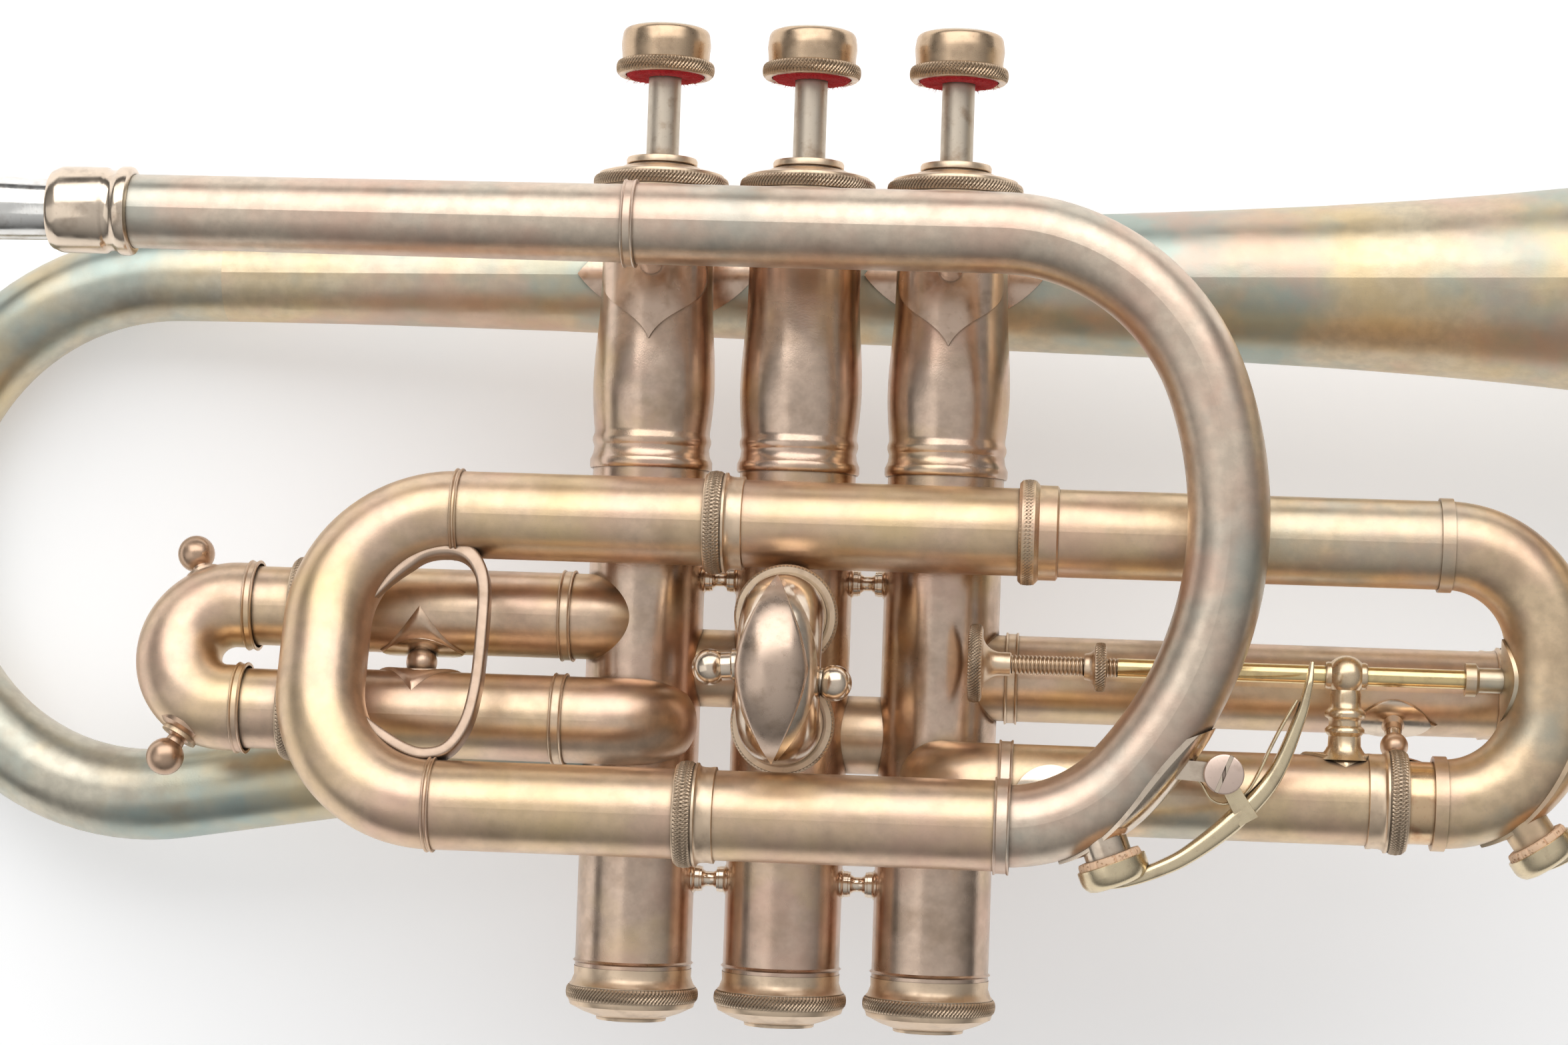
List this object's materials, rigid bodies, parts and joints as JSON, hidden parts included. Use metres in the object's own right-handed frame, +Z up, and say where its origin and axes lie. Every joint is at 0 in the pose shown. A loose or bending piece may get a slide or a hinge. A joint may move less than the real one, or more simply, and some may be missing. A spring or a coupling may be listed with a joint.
{
  "type": "cornet",
  "caption": "Vintage piston-valve cornet lying on its side, with a main tuning slide, a quick-change slide with stop rod, water keys and a mouthpiece.",
  "frame": {"origin": "centre of the bounding box's underside, with the cornet lying on its left side", "axes": "+X along the tubes towards the bell, +Y along the valves towards the finger buttons, +Z up, out of the player's right-hand side of the instrument; the instrument is tipped about Y so that the bell rim and the back bow both touch the floor"},
  "size_m": [0.395, 0.187, 0.1203],
  "materials": {
    "silver_satin": "satin silver plate, tarnished warm",
    "silver_teal": "satin silver plate, tarnished green and gold",
    "silver_bright": "burnished silver plate",
    "inner_tube": "drawn brass, polished by use",
    "nickel": "dull nickel silver",
    "rod_brass": "bare brass",
    "spring_steel": "spring steel",
    "felt": "red felt",
    "cork": "cork",
    "mouthpiece_silver": "polished silver plate"
  },
  "bodies": {
    "root": {"bell": "silver_teal", "back_bow": "silver_teal", "receiver": "silver_satin", "leadpipe": "silver_satin", "leadpipe_branch": "silver_satin", "tube_ferrules": "silver_bright", "lower_tuning_tube": "silver_satin", "upper_tuning_tube": "silver_satin", "lower_crook_tube": "silver_satin", "slide_mouth_rings": "silver_bright", "entry_elbow": "silver_satin", "valve_casing_1": "silver_satin", "valve_casing_2": "silver_satin", "valve_casing_3": "silver_satin", "valve_balusters": "silver_satin", "top_caps": "silver_bright", "bottom_caps": "silver_bright", "valve_knuckles": "silver_satin", "tube_braces": "silver_bright", "leadpipe_braces": "silver_satin", "bell_braces": "silver_satin", "first_slide_legs": "silver_satin", "second_slide_legs": "silver_satin", "third_slide_legs": "silver_satin", "valve_slide_rings": "silver_bright", "rod_guide": "silver_bright", "water_key_seat": "silver_bright", "spring_1": "spring_steel", "spring_2": "spring_steel", "spring_3": "spring_steel"},
    "valve_1": {"piston_1": "nickel", "stem_1": "nickel", "finger_button_1": "silver_bright", "stem_felt_1": "felt"},
    "valve_2": {"piston_2": "nickel", "stem_2": "nickel", "finger_button_2": "silver_bright", "stem_felt_2": "felt"},
    "valve_3": {"piston_3": "nickel", "stem_3": "nickel", "finger_button_3": "silver_bright", "stem_felt_3": "felt"},
    "tuning_slide": {"tuning_bow": "silver_satin", "tuning_legs": "inner_tube", "finger_hook": "silver_bright"},
    "quick_change_slide": {"crook_bow": "silver_satin", "crook_sleeve": "silver_satin", "crook_inner_tube": "inner_tube", "stop_rod": "rod_brass"},
    "stop_nut": {"stop_nut": "silver_bright"},
    "first_slide": {"first_slide": "silver_satin"},
    "second_slide": {"second_slide": "silver_bright"},
    "third_slide": {"third_slide": "silver_satin"},
    "water_key": {"water_key_lever": "silver_bright", "water_key_cork": "cork", "water_key_spring": "spring_steel"},
    "crook_key": {"crook_key_lever": "silver_bright", "crook_key_cork": "cork", "crook_key_spring": "spring_steel"},
    "mouthpiece": {"mouthpiece": "mouthpiece_silver"}
  },
  "joints": [
    {"name": "valve_1_press", "type": "slide", "parent": "root", "child": "valve_1", "axis": [0, -1, 0], "range_m": [0, 0.0128], "stiffness_N_per_m": 90, "springref_m": -0.02, "deforming": ["spring_1"]},
    {"name": "valve_2_press", "type": "slide", "parent": "root", "child": "valve_2", "axis": [0, -1, 0], "range_m": [0, 0.0128], "stiffness_N_per_m": 90, "springref_m": -0.02, "deforming": ["spring_2"]},
    {"name": "valve_3_press", "type": "slide", "parent": "root", "child": "valve_3", "axis": [0, -1, 0], "range_m": [0, 0.0128], "stiffness_N_per_m": 90, "springref_m": -0.02, "deforming": ["spring_3"]},
    {"name": "tuning_slide_pull", "type": "slide", "parent": "root", "child": "tuning_slide", "axis": [-0.9888, 0, -0.1495], "range_m": [0, 0.035]},
    {"name": "quick_change_pull", "type": "slide", "parent": "root", "child": "quick_change_slide", "axis": [0.9888, 0, 0.1495], "range_m": [0, 0.0335]},
    {"name": "stop_nut_travel", "type": "slide", "parent": "quick_change_slide", "child": "stop_nut", "axis": [-0.9888, 0, -0.1495], "range_m": [0, 0.009]},
    {"name": "first_slide_pull", "type": "slide", "parent": "root", "child": "first_slide", "axis": [-0.9888, 0, -0.1495], "range_m": [0, 0.02]},
    {"name": "second_slide_pull", "type": "slide", "parent": "root", "child": "second_slide", "axis": [-0.1495, 0, 0.9888], "range_m": [0, 0.01]},
    {"name": "third_slide_pull", "type": "slide", "parent": "root", "child": "third_slide", "axis": [0.9888, 0, 0.1495], "range_m": [0, 0.025]},
    {"name": "water_key_open", "type": "hinge", "parent": "root", "child": "water_key", "pos_m": [0.03656, -0.04976, 0.09268], "axis": [-0.1495, 0, 0.9888], "range_deg": [0, 12], "stiffness_Nm_per_rad": 0.05, "springref_deg": -34.38},
    {"name": "crook_key_open", "type": "hinge", "parent": "quick_change_slide", "child": "crook_key", "pos_m": [0.10018, -0.04195, 0.08713], "axis": [-0.1495, 0, 0.9888], "range_deg": [0, 12], "stiffness_Nm_per_rad": 0.05, "springref_deg": -34.38},
    {"name": "mouthpiece_pull", "type": "slide", "parent": "root", "child": "mouthpiece", "axis": [-0.9888, 0, -0.1495], "range_m": [0, 0.028]}
  ]
}
